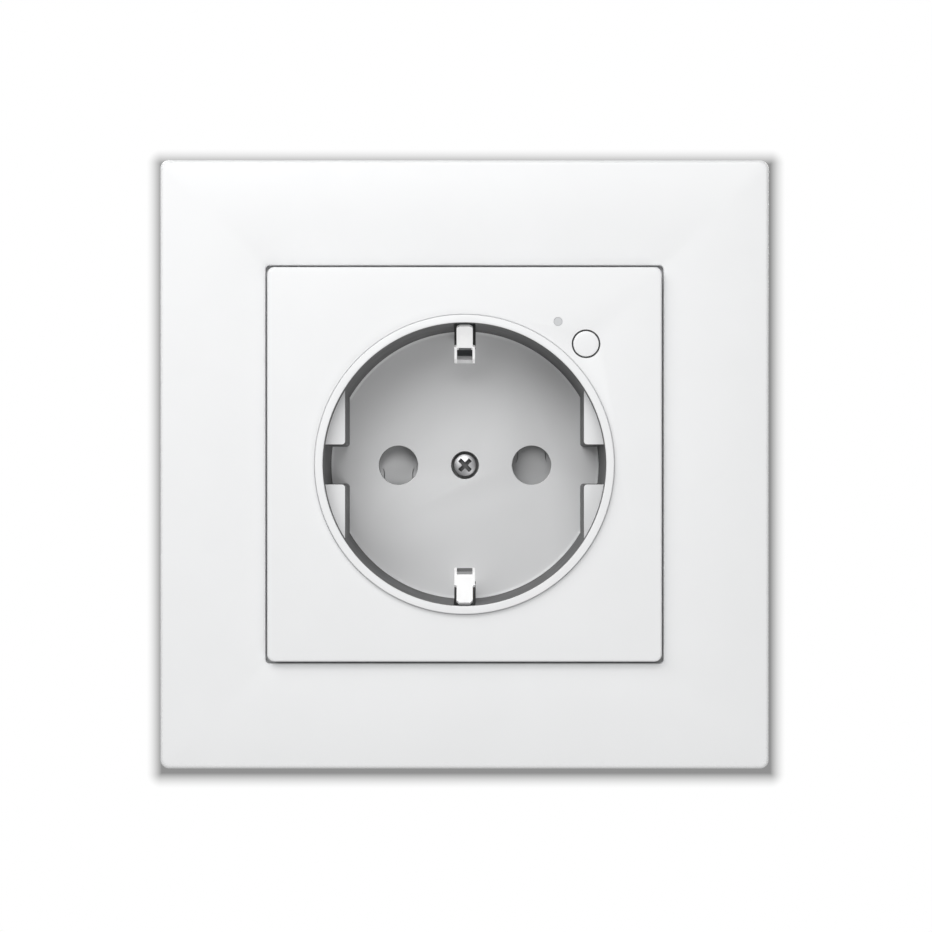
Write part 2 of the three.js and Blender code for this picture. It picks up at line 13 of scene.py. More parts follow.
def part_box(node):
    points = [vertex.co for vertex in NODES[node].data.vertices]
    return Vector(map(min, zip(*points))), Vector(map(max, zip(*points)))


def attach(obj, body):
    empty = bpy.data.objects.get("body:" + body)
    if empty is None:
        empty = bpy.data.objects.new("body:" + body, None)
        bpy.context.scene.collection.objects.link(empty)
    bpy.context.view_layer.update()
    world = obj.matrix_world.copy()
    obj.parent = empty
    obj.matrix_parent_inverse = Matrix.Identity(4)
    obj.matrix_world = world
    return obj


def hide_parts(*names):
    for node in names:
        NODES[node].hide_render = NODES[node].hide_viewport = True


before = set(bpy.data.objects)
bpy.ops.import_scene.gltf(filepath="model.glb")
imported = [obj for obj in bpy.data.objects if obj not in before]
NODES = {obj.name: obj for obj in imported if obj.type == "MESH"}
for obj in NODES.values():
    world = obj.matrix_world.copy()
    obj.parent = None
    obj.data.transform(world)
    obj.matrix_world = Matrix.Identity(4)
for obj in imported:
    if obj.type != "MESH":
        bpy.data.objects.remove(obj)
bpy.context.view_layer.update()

MM = 0.001
TAU = 2 * math.pi
POLES = ("line", "earth", "neutral")


# ---------------------------------------------------------------- places and sizes, from the frame


def low(node):
    """The lowest corner of a node's box."""
    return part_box(node)[0]


def high(node):
    """The highest corner of a node's box."""
    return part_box(node)[1]


def middle(node):
    """The middle of a node's box."""
    return (low(node) + high(node)) / 2


FRAME_HALF = high("outer_frame").x
FRAME_FRONT = low("outer_frame").y
PLATE_HALF = high("cover_plate").x
COLLAR_FRONT = low("cover_plate").y
PLATE_FRONT = COLLAR_FRONT + 0.8 * MM
BOSS_BACK = high("cover_plate").y
BUTTON = middle("push_button")
LIGHT = middle("light_pipe")
BODY_HALF = high("rear_cover").x
BODY_BACK = high("rear_cover").y
BODY_CORNER = 16 * MM
SPLIT_FRONT = low("rear_cover").y
SHUTTER_FRONT = low("shutter").y
SHUTTER_BACK = high("shutter").y

PLATE_GAP = 0.3 * MM
WELL_RADIUS = 19.75 * MM
FLOOR_RADIUS = 19.15 * MM
WELL_FLOOR = 6.2 * MM
CUP_RADIUS = 21.2 * MM
CUP_BACK = 8 * MM
COLLAR_RADIUS = 20.85 * MM
PIN_OFFSET = 9.5 * MM
PIN_HOLE = 2.775 * MM
HEAD_HOLE = 1.975 * MM
SHANK_HOLE = 1.45 * MM
BUTTON_HOLE = 2 * MM
LIGHT_HOLE = 0.615 * MM
BOSS_RADIUS = 2.8 * MM
SLOT_HALF = 1.52 * MM
SLOT_START = 16.6 * MM
SLOT_END = 22.6 * MM
SLOT_LEDGE = WELL_FLOOR + 0.8 * MM


# ---------------------------------------------------------------- mesh building


def mesh_object(name, points, faces):
    """A mesh object with outward faces, smooth except across sharp edges."""
    mesh = bpy.data.meshes.new(name)
    mesh.from_pydata([tuple(p) for p in points], [], faces)
    made = bmesh.new()
    made.from_mesh(mesh)
    bmesh.ops.remove_doubles(made, verts=made.verts, dist=1e-7)
    bmesh.ops.recalc_face_normals(made, faces=made.faces)
    made.to_mesh(mesh)
    made.free()
    thing = bpy.data.objects.new(name, mesh)
    bpy.context.scene.collection.objects.link(thing)
    return soften(thing)


def soften(thing, angle=32):
    for polygon in thing.data.polygons:
        polygon.use_smooth = True
    thing.data.set_sharp_from_angle(angle=math.radians(angle))
    return thing


def skin_loops(name, loops, closed=False):
    """Quads between loops of equal length; an open skin is capped at both ends."""
    count = len(loops[0])
    points = [p for loop in loops for p in loop]
    faces = []
    pairs = len(loops) if closed else len(loops) - 1
    for i in range(pairs):
        here, there = i * count, (i + 1) % len(loops) * count
        for k in range(count):
            after = (k + 1) % count
            faces.append((here + k, here + after, there + after, there + k))
    if not closed:
        faces.append(tuple(range(count)))
        faces.append(tuple((len(loops) - 1) * count + k for k in range(count)))
    return mesh_object(name, points, faces)


def square_loop(half, radius, y, steps=8, half_z=None):
    """Points round a rounded rectangle at depth y."""
    half_z = half if half_z is None else half_z
    points = []
    for quarter, (sx, sz) in enumerate([(1, 1), (-1, 1), (-1, -1), (1, -1)]):
        centre_x, centre_z = sx * (half - radius), sz * (half_z - radius)
        for step in range(steps + 1):
            angle = TAU / 4 * (quarter + step / steps)
            x = centre_x + radius * math.cos(angle)
            z = centre_z + radius * math.sin(angle)
            points.append((x, y, z))
    return points


def circle_loop(radius, y, count, x=0.0, z=0.0):
    return [
        (x + radius * math.cos(TAU * k / count), y, z + radius * math.sin(TAU * k / count))
        for k in range(count)
    ]


def turned(name, profile, count=96, x=0.0, z=0.0):
    """A solid of revolution about a line along Y; profile holds (radius, y), open ends are capped."""
    return skin_loops(name, [circle_loop(radius, y, count, x, z) for radius, y in profile])


def arc(centre, radius, start, end, steps=5):
    """Points of a circular arc in a profile plane; angles in degrees."""
    turn = [math.radians(start + (end - start) * k / steps) for k in range(steps + 1)]
    return [(centre[0] + radius * math.cos(a), centre[1] + radius * math.sin(a)) for a in turn]


def box_solid(name, lowest, highest):
    (x0, y0, z0), (x1, y1, z1) = lowest, highest
    loops = [[(x0, y, z0), (x1, y, z0), (x1, y, z1), (x0, y, z1)] for y in (y0, y1)]
    return skin_loops(name, loops)


def combine(base, tools, operation):
    """Applies a boolean with each tool in turn, and removes the tools."""
    for tool in tools:
        step = base.modifiers.new("step", "BOOLEAN")
        step.operation = operation
        step.solver = "EXACT"
        step.object = tool
        bpy.context.view_layer.update()
        graph = bpy.context.evaluated_depsgraph_get()
        made = bpy.data.meshes.new_from_object(base.evaluated_get(graph))
        base.modifiers.clear()
        base.data = made
        bpy.data.objects.remove(tool)
    return base


def add_to(base, *tools):
    return combine(base, tools, "UNION")


def cut_from(base, *tools):
    return combine(base, tools, "DIFFERENCE")


def ease_edges(thing, width):
    """Rounds a piece's remaining sharp edges with a bevel that keeps flat faces flat."""
    bevel = thing.modifiers.new("edges", "BEVEL")
    bevel.width = width
    bevel.segments = 2
    bevel.limit_method = "ANGLE"
    bevel.angle_limit = math.radians(35)
    bevel.harden_normals = True
    bevel.use_clamp_overlap = True
    bevel.miter_outer = "MITER_ARC"
    return thing


def tidy_faces(thing):
    """Joins coplanar faces that a boolean has left split."""
    made = bmesh.new()
    made.from_mesh(thing.data)
    bmesh.ops.remove_doubles(made, verts=made.verts, dist=2e-7)
    bmesh.ops.dissolve_limit(made, angle_limit=math.radians(0.4), verts=made.verts, edges=made.edges)
    made.to_mesh(thing.data)
    made.free()
    return soften(thing)


def place(thing, body, material, slot, *nodes):
    """Puts a finished piece on its CAD body, in place of the CAD nodes that it stands for."""
    thing.data.materials.clear()
    thing.data.materials.append(material)
    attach(thing, body)
    if nodes:
        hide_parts(*nodes)
    return thing


# ---------------------------------------------------------------- materials


def new_material(name):
    material = bpy.data.materials.new(name)
    material.use_nodes = True
    tree = material.node_tree
    return material, tree, tree.nodes["Principled BSDF"]


def noise(tree, scale, detail=2.0, stretch=(1, 1, 1)):
    """Noise over the object's own coordinates; scale is in features per metre."""
    where = tree.nodes.new("ShaderNodeTexCoord")
    mapping = tree.nodes.new("ShaderNodeMapping")
    mapping.inputs["Scale"].default_value = stretch
    texture = tree.nodes.new("ShaderNodeTexNoise")
    texture.inputs["Scale"].default_value = scale
    texture.inputs["Detail"].default_value = detail
    tree.links.new(where.outputs["Object"], mapping.inputs["Vector"])
    tree.links.new(mapping.outputs["Vector"], texture.inputs["Vector"])
    return texture.outputs["Fac"]


def spread(tree, source, lowest, highest):
    """Maps the middle of a noise's range to the range from lowest to highest."""
    node = tree.nodes.new("ShaderNodeMapRange")
    node.inputs["From Min"].default_value = 0.3
    node.inputs["From Max"].default_value = 0.7
    node.inputs["To Min"].default_value = lowest
    node.inputs["To Max"].default_value = highest
    tree.links.new(source, node.inputs["Value"])
    return node.outputs["Result"]


def two_tones(tree, source, first, second):
    """A colour that goes from the first to the second with a noise."""
    ramp = tree.nodes.new("ShaderNodeValToRGB")
    ramp.color_ramp.elements[0].position = 0.3
    ramp.color_ramp.elements[0].color = (*first, 1)
    ramp.color_ramp.elements[1].position = 0.7
    ramp.color_ramp.elements[1].color = (*second, 1)
    tree.links.new(source, ramp.inputs["Fac"])
    return ramp.outputs["Color"]


def bump(tree, source, shader, distance):
    node = tree.nodes.new("ShaderNodeBump")
    node.inputs["Distance"].default_value = distance
    node.inputs["Strength"].default_value = 1.0
    tree.links.new(source, node.inputs["Height"])
    tree.links.new(node.outputs["Normal"], shader.inputs["Normal"])


def plastic(name, color, rough=(0.3, 0.38), contrast=0.03, grain=9000, relief=0.004 * MM, specular=0.5):
    """Moulded plastic: faint flow-mark mottling, a fine spark-eroded grain and uneven gloss."""
    material, tree, shader = new_material(name)
    darker = [c * (1 - contrast) for c in color]
    tone = two_tones(tree, noise(tree, 90, 3), darker, color)
    tree.links.new(tone, shader.inputs["Base Color"])
    tree.links.new(spread(tree, noise(tree, 260, 4), *rough), shader.inputs["Roughness"])
    shader.inputs["Specular IOR Level"].default_value = specular
    bump(tree, noise(tree, grain, 3), shader, relief)
    return material


def metal(name, color, rough=(0.2, 0.34), stretch=(1, 1, 1), metallic=1.0, contrast=0.12):
    """Bare or plated metal: drawn or rolled streaks in tone, gloss and relief."""
    material, tree, shader = new_material(name)
    shader.inputs["Metallic"].default_value = metallic
    darker = [c * (1 - contrast) for c in color]
    tone = two_tones(tree, noise(tree, 400, 4, stretch), darker, color)
    tree.links.new(tone, shader.inputs["Base Color"])
    tree.links.new(spread(tree, noise(tree, 900, 4, stretch), *rough), shader.inputs["Roughness"])
    bump(tree, noise(tree, 2500, 3, stretch), shader, 0.0008 * MM)
    return material


def painted_card_reflection(material, strength):
    """Painted reflection: the material glows with a little light of its own, in place of a bright studio
    card mirrored in polished nickel.
    """
    shader = material.node_tree.nodes["Principled BSDF"]
    shader.inputs["Emission Color"].default_value = (1, 1, 1, 1)
    shader.inputs["Emission Strength"].default_value = strength


def board_green(name):
    """Solder mask over copper: darker fields with paler track-like bands."""
    material, tree, shader = new_material(name)
    tracks = tree.nodes.new("ShaderNodeTexBrick")
    tracks.inputs["Scale"].default_value = 260
    tracks.inputs["Color1"].default_value = (0.02, 0.13, 0.065, 1)
    tracks.inputs["Color2"].default_value = (0.025, 0.17, 0.085, 1)
    tracks.inputs["Mortar"].default_value = (0.05, 0.24, 0.12, 1)
    where = tree.nodes.new("ShaderNodeTexCoord")
    tree.links.new(where.outputs["Object"], tracks.inputs["Vector"])
    tree.links.new(tracks.outputs["Color"], shader.inputs["Base Color"])
    tree.links.new(spread(tree, noise(tree, 300, 3), 0.3, 0.45), shader.inputs["Roughness"])
    bump(tree, tracks.outputs["Fac"], shader, 0.02 * MM)
    return material


WHITE = plastic("front_white", (0.83, 0.835, 0.84), (0.3, 0.38), contrast=0.015)
# Painted shade: a dark grey for the well's steep faces and the slot ledges, which are of the same white
# plastic as the plate.
WELL_PAINTED_SHADE = plastic("well_painted_shade", (0.14, 0.14, 0.142), (0.45, 0.55), contrast=0.015, specular=0.2)
WINDOW = plastic("light_window", (0.6, 0.61, 0.62), (0.12, 0.2), grain=5000)
RELEASE = plastic("release_white", (0.7, 0.71, 0.7), (0.35, 0.45))
SHUTTER = plastic("shutter_grey", (0.58, 0.585, 0.59), (0.35, 0.45))
HOUSING = plastic(
    "housing_grey", (0.3, 0.315, 0.33), (0.45, 0.6), contrast=0.08, grain=5000, relief=0.012 * MM,
)
BLACK = plastic("black_plastic", (0.02, 0.02, 0.023), (0.35, 0.5), contrast=0.3)
RELAY = plastic("relay_blue", (0.03, 0.075, 0.2), (0.25, 0.35), contrast=0.15)
FILM = plastic("film_yellow", (0.62, 0.42, 0.05), (0.25, 0.4), contrast=0.12)
FERRITE = plastic(
    "ferrite_grey", (0.045, 0.045, 0.05), (0.5, 0.7), contrast=0.3, grain=3000, relief=0.02 * MM,
)
CERAMIC = plastic(
    "varistor_blue", (0.03, 0.1, 0.35), (0.3, 0.5), contrast=0.15, grain=2500, relief=0.02 * MM,
)
SCREW = metal("screw_steel", (0.66, 0.67, 0.68), (0.16, 0.3))
# Painted shade: a dark grey for the faces inside the screw's cross recess.
RECESS_PAINTED_SHADE = metal("screw_recess_painted_shade", (0.13, 0.13, 0.132), (0.5, 0.6), metallic=0.1)
HEAD = metal("screw_head", (0.62, 0.62, 0.63), (0.4, 0.48), contrast=0.06)
STREAKS = (8, 1, 1)
CLIP = metal("clip_nickel_painted_glow", (0.99, 0.99, 0.99), (0.3, 0.42), STREAKS, metallic=0.3, contrast=0.02)
# The clips' nickel glows a little: a painted reflection.
painted_card_reflection(CLIP, 0.2)
CUT_EDGE = metal("clip_cut_edge", (0.8, 0.8, 0.805), (0.4, 0.5), STREAKS, metallic=0.3, contrast=0.05)
# Painted shade: a dark grey copy of the cut edge's metal, for the lower clip's window edge.
LOWER_EDGE_PAINTED_SHADE = metal("clip_edge_painted_shade", (0.13, 0.13, 0.132), (0.5, 0.6), STREAKS, metallic=0.1, contrast=0.05)
SHEET = metal("plate_steel", (0.6, 0.61, 0.62), (0.28, 0.42), stretch=(1, 1, 12))
SPRING = metal("spring_steel", (0.86, 0.865, 0.87), (0.22, 0.34), STREAKS)
BRASS = metal("contact_brass", (0.76, 0.55, 0.2), (0.2, 0.34), stretch=(1, 8, 1))
COPPER = metal("copper", (0.78, 0.4, 0.2), (0.22, 0.36), stretch=(1, 8, 1))
CAN = metal("can_aluminium", (0.72, 0.73, 0.75), (0.28, 0.4), stretch=(1, 10, 1))
BOARD = board_green("board_green")


# ---------------------------------------------------------------- outer frame


def outer_frame():
    """The frame's section carried round the square: rounded front edges, thin walls and a ledge."""
    opening = PLATE_HALF + PLATE_GAP
    outer = FRAME_HALF
    skin = 2 * MM
    edge = 0.55 * MM
    lip = 0.22 * MM
    foot_edge = 0.15 * MM
    skin_back = FRAME_FRONT + skin
    ledge_back = skin_back + 1.8 * MM
    throat = opening - 1.75 * MM
    section = arc((opening + lip, FRAME_FRONT + lip), lip, 180, 270, 4)
    section += arc((outer - edge, FRAME_FRONT + edge), edge, -90, 0, 6)
    section += [(outer, -foot_edge), (outer - foot_edge, 0)]
    section += [(outer - skin, 0), (outer - skin, skin_back)]
    section += [(opening + skin, skin_back), (opening + skin, ledge_back)]
    section += [(throat, ledge_back), (throat, skin_back), (opening, skin_back)]

    def corner(half):
        """The corners get a little sharper towards the opening."""
        return max(1.2 * MM - (outer - half) * 0.05, 0.6 * MM)

    loops = [square_loop(half, corner(half), y) for half, y in section]
    return skin_loops("frame_shell", loops, closed=True)


# ---------------------------------------------------------------- cover plate with its well


def guide_block(side, half):
    """One of the four guide blocks: a tapered prism with a rounded inner corner."""
    flat_front, flat_floor = 16.7 * MM, 16.42 * MM
    groove_front, groove_floor = 2.8 * MM, 2.62 * MM
    front = COLLAR_FRONT + 3 * MM
    fillet = 0.45 * MM
    end = 11.5 * MM
    outside = 20.4 * MM
    into_wall = 20.3 * MM

    def loop(flat, groove, y):
        corner = arc((flat + fillet, groove + fillet), fillet, 180, 270, 4)
        points = [*corner, (outside, groove), (outside, end), (flat, end)]
        return [(side * x, y, half * z) for x, z in points]

    at_front = loop(flat_front, groove_front, front)
    at_floor = loop(flat_floor, groove_floor, WELL_FLOOR + 1 * MM)
    block = skin_loops("guide", [at_front, at_floor])
    keep = turned("keep", [(into_wall, front - 5 * MM), (into_wall, CUP_BACK)])
    return combine(block, [keep], "INTERSECT")


def well_space():
    """The hollow of the well, with a rounded mouth and a filleted floor."""
    lip = 0.13 * MM
    fillet = 0.5 * MM
    profile = [(WELL_RADIUS + lip, COLLAR_FRONT - 1 * MM)]
    profile += arc((WELL_RADIUS + lip, COLLAR_FRONT + lip), lip, 270, 180)
    profile += arc((FLOOR_RADIUS - fillet, WELL_FLOOR - fillet), fillet, 0, 90)
    return turned("well", profile, 192)


def rounded_plate():
    """The plate's flat body with its rounded front edge."""
    corner = 1 * MM
    edge = 0.28 * MM
    back = FRAME_FRONT + 1.8 * MM
    section = arc((PLATE_HALF - edge, PLATE_FRONT + edge), edge, -90, 0)
    section.append((PLATE_HALF, back))
    return skin_loops("cover_plate_body", [square_loop(half, corner, y) for half, y in section])


def clip_slot(sign):
    """A clip's slot down the well's wall and through the floor; behind a ledge it narrows to the foot."""
    near, far = sorted((sign * SLOT_START, sign * SLOT_END))
    front = PLATE_FRONT + 0.7 * MM
    foot_half = 1.16 * MM
    slot = box_solid("slot", (-SLOT_HALF, front, near), (SLOT_HALF, SLOT_LEDGE, far))
    foot_slot = box_solid("slot", (-foot_half, front, near), (foot_half, CUP_BACK + 1 * MM, far))
    return add_to(slot, foot_slot)


def collar_groove():
    """The fine line pressed into the plate along the collar's foot."""
    near, far = COLLAR_RADIUS - 0.02 * MM, COLLAR_RADIUS + 0.12 * MM
    front, back = PLATE_FRONT - 0.1 * MM, PLATE_FRONT + 0.25 * MM
    section = [(near, PLATE_FRONT + 0.001 * MM), (far, front), (far, back), (near, back)]
    return skin_loops("groove", [circle_loop(radius, y, 192) for radius, y in section], closed=True)


def nose_slot():
    """The narrow end of the upper clip's slot, behind the window in its nose."""
    half = 1.12 * MM
    lowest = (-half, WELL_FLOOR - 1 * MM, 15.3 * MM)
    highest = (half, CUP_BACK + 1 * MM, SLOT_START + 0.2 * MM)
    return box_solid("slot", lowest, highest)


def cup_body():
    """The collar, the cup that the well is cut into, and the screw's boss behind it."""
    edge = 0.15 * MM
    profile = [(COLLAR_RADIUS - edge, COLLAR_FRONT)]
    profile += arc((COLLAR_RADIUS - edge, COLLAR_FRONT + edge), edge, -72, 0, 4)
    profile += [(COLLAR_RADIUS, PLATE_FRONT + 1 * MM), (CUP_RADIUS, PLATE_FRONT + 1 * MM)]
    profile += [(CUP_RADIUS, CUP_BACK), (BOSS_RADIUS, CUP_BACK), (BOSS_RADIUS, BOSS_BACK)]
    return turned("cup", profile, 192)


def hole(radius, x, z, front, back, lip=0.0, count=48):
    """A round hole's tool, flared at its front by a rounded lip."""
    profile = [(radius + lip, front - 1 * MM)]
    profile += arc((radius + lip, front + lip), lip, 270, 180, 4) if lip else [(radius, front)]
    profile.append((radius, back))
    return turned("hole", profile, count, x, z)


def cover_plate():
    """The plate with its collar, well, guide blocks, slots and holes, and the control board's two posts."""
    plate = rounded_plate()
    inner = PLATE_HALF - 1.2 * MM
    under = [square_loop(inner, 0.5 * MM, y) for y in (PLATE_FRONT + 2 * MM, 0)]
    cut_from(plate, skin_loops("under", under))
    post = [(1.2 * MM, PLATE_FRONT + 1.5 * MM), (1.2 * MM, -4.25 * MM)]
    near, far = 10 * MM, 23.9 * MM
    posts = [turned("post", post, 24, x, z) for x, z in ((far, near), (near, far))]
    add_to(plate, cup_body(), *posts)
    cut_from(plate, well_space(), collar_groove())
    add_to(plate, *[guide_block(side, half) for side in (-1, 1) for half in (-1, 1)])
    behind_floor = CUP_BACK + 1 * MM
    behind_plate = -8 * MM
    head_back = WELL_FLOOR + 2.6 * MM
    cut_from(
        plate,
        clip_slot(1),
        clip_slot(-1),
        nose_slot(),
        hole(PIN_HOLE, PIN_OFFSET, 0, WELL_FLOOR, behind_floor, 0.12 * MM, 64),
        hole(PIN_HOLE, -PIN_OFFSET, 0, WELL_FLOOR, behind_floor, 0.12 * MM, 64),
        hole(HEAD_HOLE, 0, 0, WELL_FLOOR, head_back, 0.1 * MM),
        hole(SHANK_HOLE, 0, 0, WELL_FLOOR, BOSS_BACK + 1 * MM),
        hole(BUTTON_HOLE, BUTTON.x, BUTTON.z, PLATE_FRONT, behind_plate, 0.03 * MM, 64),
        hole(LIGHT_HOLE, LIGHT.x, LIGHT.z, PLATE_FRONT, behind_plate, 0, 40),
    )
    return tidy_faces(plate)


def paint_well_shade(plate):
    """Paints shade on the well's steep faces and on the ledges in the clips' slots: these faces get a dark
    grey material in place of the white.
    """
    plate.data.materials.append(WELL_PAINTED_SHADE)
    for face in plate.data.polygons:
        centre = face.center
        radius = math.hypot(centre.x, centre.z)
        inside = radius < COLLAR_RADIUS - 0.4 * MM
        deep = COLLAR_FRONT + 0.16 * MM < centre.y < CUP_BACK
        steep = abs(face.normal.y) < 0.5
        ledge = abs(centre.y - SLOT_LEDGE) < 0.05 * MM and face.normal.y < 0
        if inside and deep and (steep or ledge):
            face.material_index = 1


# ---------------------------------------------------------------- button, light and screw


def push_button():
    """A lightly domed cap on its flanged stem."""
    radius = 1.775 * MM
    flange = 2.6 * MM
    flange_front, flange_back = -8.2 * MM, -7.5 * MM
    stem = 1.1 * MM
    front = low("push_button").y
    edge = 0.12 * MM
    profile = [(radius * 0.02, front), (radius * 0.45, front + 0.01 * MM)]
    profile.append((radius * 0.75, front + 0.04 * MM))
    profile += arc((radius - edge, front + 0.07 * MM + edge), edge, -80, 0, 5)
    profile += [(radius, flange_front), (flange, flange_front), (flange, flange_back), (stem, flange_back)]
    profile.append((stem, high("push_button").y))
    return turned("button_cap", profile, 64, BUTTON.x, BUTTON.z)


def light_pipe():
    """The round light guide behind the indicator's window, with its flange behind the plate."""
    radius = 0.6 * MM
    flange = 1.1 * MM
    flange_front, flange_back = -8.2 * MM, -7.4 * MM
    front = low("light_pipe").y
    profile = [(radius * 0.05, front), (radius * 0.6, front), (radius * 0.96, front + 0.01 * MM)]
    profile += [(radius, front + 0.05 * MM), (radius, flange_front), (flange, flange_front)]
    profile += [(flange, flange_back), (radius, flange_back), (radius, high("light_pipe").y)]
    return turned("light_window_pipe", profile, 40, LIGHT.x, LIGHT.z)


def cross_tool(sections, turn, x=0.0, z=0.0):
    """The two crossed bars of a cross recess; each section is a (half length, half width, y)."""
    tools = []
    for k in range(2):
        loops = [
            [(-half, y, -thick), (half, y, -thick), (half, y, thick), (-half, y, thick)]
            for half, thick, y in sections
        ]
        tool = skin_loops("wing", loops)
        tool.data.transform(Matrix.Translation((x, 0, z)) @ Matrix.Rotation(turn + k * TAU / 4, 4, "Y"))
        tools.append(tool)
    return tools


SCREW_HEAD = 1.6 * MM
SCREW_DOME = 0.3 * MM


def dome_depth(radius):
    """How far the screw head's face lies behind its crown at a radius."""
    return SCREW_DOME * (radius / SCREW_HEAD) ** 2


def cover_screw():
    """Domed cross-head screw with a threaded shank."""
    front = low("cover_screw").y
    back = high("cover_screw").y
    edge = 0.12 * MM
    outside, root = 1.2 * MM, 0.98 * MM
    pitch = 0.5 * MM
    head_back = front + 2.3 * MM
    crown = [share * SCREW_HEAD for share in (0.03, 0.25, 0.5, 0.75)]
    profile = [(radius, front + dome_depth(radius)) for radius in crown]
    profile += arc((SCREW_HEAD - edge, front + SCREW_DOME + edge), edge, -70, 0, 4)
    profile += [(SCREW_HEAD, head_back), (outside, head_back)]
    for k in range(int((back - 0.7 * MM - head_back) / pitch)):
        y = head_back + k * pitch
        profile += [(outside, y + 0.1 * MM), (root, y + 0.3 * MM), (root, y + 0.36 * MM)]
    profile += [(0.9 * MM, back - 0.4 * MM), (0.2 * MM, back)]
    screw = turned("cover_screw_fine", profile, 64)
    half, thick, depth, narrowing = 1.12 * MM, 0.285 * MM, 0.75 * MM, 0.8
    mouth = [(half, thick, front - 0.5 * MM), (half, thick, front + 0.1 * MM)]
    bottom = (half * narrowing, thick * narrowing, front + depth)
    cut_from(screw, *cross_tool([*mouth, bottom], TAU / 8))
    return soften(screw)


def paint_recess_shade(screw):
    """Paints shade inside the cross recess: its faces get a dark grey metal."""
    screw.data.materials.append(RECESS_PAINTED_SHADE)
    front = low("cover_screw").y
    for face in screw.data.polygons:
        centre = face.center
        radius = math.hypot(centre.x, centre.z)
        below_face = front + dome_depth(radius) + 0.04 * MM < centre.y < front + 1.3 * MM
        if radius < 1.2 * MM and below_face:
            face.material_index = 1


# ---------------------------------------------------------------- sheet-metal strips


def smooth_path(points):
    """A polyline of (y, z) points in millimetres with its corners rounded by quadratic arcs."""
    bend_reach = 0.77
    bend_steps = 8
    corners = [Vector(p) for p in points]
    path = [corners[0]]
    for before, corner, after in zip(corners, corners[1:], corners[2:]):
        reach = min(bend_reach, (corner - before).length * 0.45, (after - corner).length * 0.45)
        start = corner + (before - corner).normalized() * reach
        end = corner + (after - corner).normalized() * reach
        for k in range(bend_steps + 1):
            t = k / bend_steps
            path.append((1 - t) ** 2 * start + 2 * t * (1 - t) * corner + t * t * end)
    path.append(corners[-1])
    return path


def lengths(path):
    """The length along a path at each of its points."""
    run = [0.0]
    for a, b in zip(path, path[1:]):
        run.append(run[-1] + (b - a).length)
    return run


def at_length(path, run, s):
    """The point and unit direction at length s along a path."""
    k = max(i for i in range(len(run) - 1) if run[i] <= s + 1e-9)
    span = run[k + 1] - run[k]
    share = (s - run[k]) / span if span else 0.0
    return path[k].lerp(path[k + 1], share), (path[k + 1] - path[k]).normalized()


def strip_stops(total, windows):
    """Lengths along a strip that get a row of points, each window's two ends among them."""
    step = 0.12
    stops = {0.0, total}
    stops.update(total - d for window in windows for d in window)
    stops.update(k * step for k in range(int(total / step)))
    return sorted(s for s in stops if 0 <= s <= total)


def strip_skin(made, grid, is_metal):
    """Faces round every metal cell of a strip; grid[row][side][column] holds its points."""
    for row in range(len(grid) - 1):
        here, there = grid[row], grid[row + 1]
        for column in range(3):
            if not is_metal(row, column):
                continue
            after = column + 1
            for near, far in zip(here, there):
                made.faces.new((near[column], near[after], far[after], far[column]))
            if not is_metal(row - 1, column):
                made.faces.new((here[0][column], here[0][after], here[1][after], here[1][column]))
            if not is_metal(row + 1, column):
                made.faces.new((there[0][column], there[0][after], there[1][after], there[1][column]))
            if not is_metal(row, column - 1):
                made.faces.new((here[0][column], there[0][column], there[1][column], here[1][column]))
            if not is_metal(row, after):
                made.faces.new((here[0][after], there[0][after], there[1][after], here[1][after]))


def bent_strip(name, points, half_width, windows, mirror=1):
    """A strip of sheet metal bent along a path; half_width gives its width by the length from its end.

    Each window is the (start, end) of a hole, in millimetres from the end of the path. A mirror of -1 turns
    the strip half a turn about Y.
    """
    path = smooth_path(points)
    run = lengths(path)
    total = run[-1]
    stops = strip_stops(total, windows)
    made = bmesh.new()
    grid = []
    for s in stops:
        centre, direction = at_length(path, run, s)
        normal = Vector((-direction.y, direction.x))
        wide = half_width(total - s)
        inner = min(WINDOW_HALF, wide * 0.8)
        sides = []
        for sign in (-1, 1):
            offset = centre + normal * (sign * CLIP_THICKNESS / 2)
            y, z = offset.x * MM, mirror * offset.y * MM
            sides.append([made.verts.new((x * mirror * MM, y, z)) for x in (-wide, -inner, inner, wide)])
        grid.append(sides)

    def is_metal(row, column):
        if not (0 <= row < len(grid) - 1 and 0 <= column < 3):
            return False
        near, far = total - stops[row], total - stops[row + 1]
        in_window = any(far > start - 1e-6 and near < end + 1e-6 for start, end in windows)
        return column != 1 or not in_window

    strip_skin(made, grid, is_metal)
    bmesh.ops.recalc_face_normals(made, faces=made.faces)
    mesh = bpy.data.meshes.new(name)
    made.to_mesh(mesh)
    made.free()
    thing = bpy.data.objects.new(name, mesh)
    bpy.context.scene.collection.objects.link(thing)
    return soften(thing, 40)


# The clips' sizes are in millimetres. A path holds the (y, z) corners of a clip's middle line, from the
# hooked foot, over the riser and the nose, to the tip of the tongue; widths and windows go by the length
# from that tip.
CLIP_FOOT = [(16.2, 19.3), (16.2, 18.2), (8.5, 17.8), (4.6, 17.5)]
CLIP_RISER = [(-0.5, 15.15)]
UPPER_CLIP_BOW = [(-0.9, 14.57), (-2.1, 14.57), (-2.75, 14.85), (-5.75, 19.5)]
LOWER_CLIP_BOW = [(-0.9, 14.78), (-2.1, 14.78), (-2.75, 15.05), (-5.75, 19.5)]
CLIP_THICKNESS = 0.5
TONGUE_HALF = 1.13
SHOULDER_HALF = 1.49
NOSE_HALF = 1.44
FOOT_HALF = 1.1
WINDOW_HALF = 1.1
SHOULDER_LENGTH = 0.3
UPPER_TONGUE = 3.3
LOWER_TONGUE = 2.9
FOOT_START = 11.5
NOSE_END = 7.2
UPPER_NOSE_WINDOW = (3.5, NOSE_END)
LOWER_NOSE_WINDOW = (4.72, NOSE_END)
RISER_WINDOW = (8.2, 12.7)


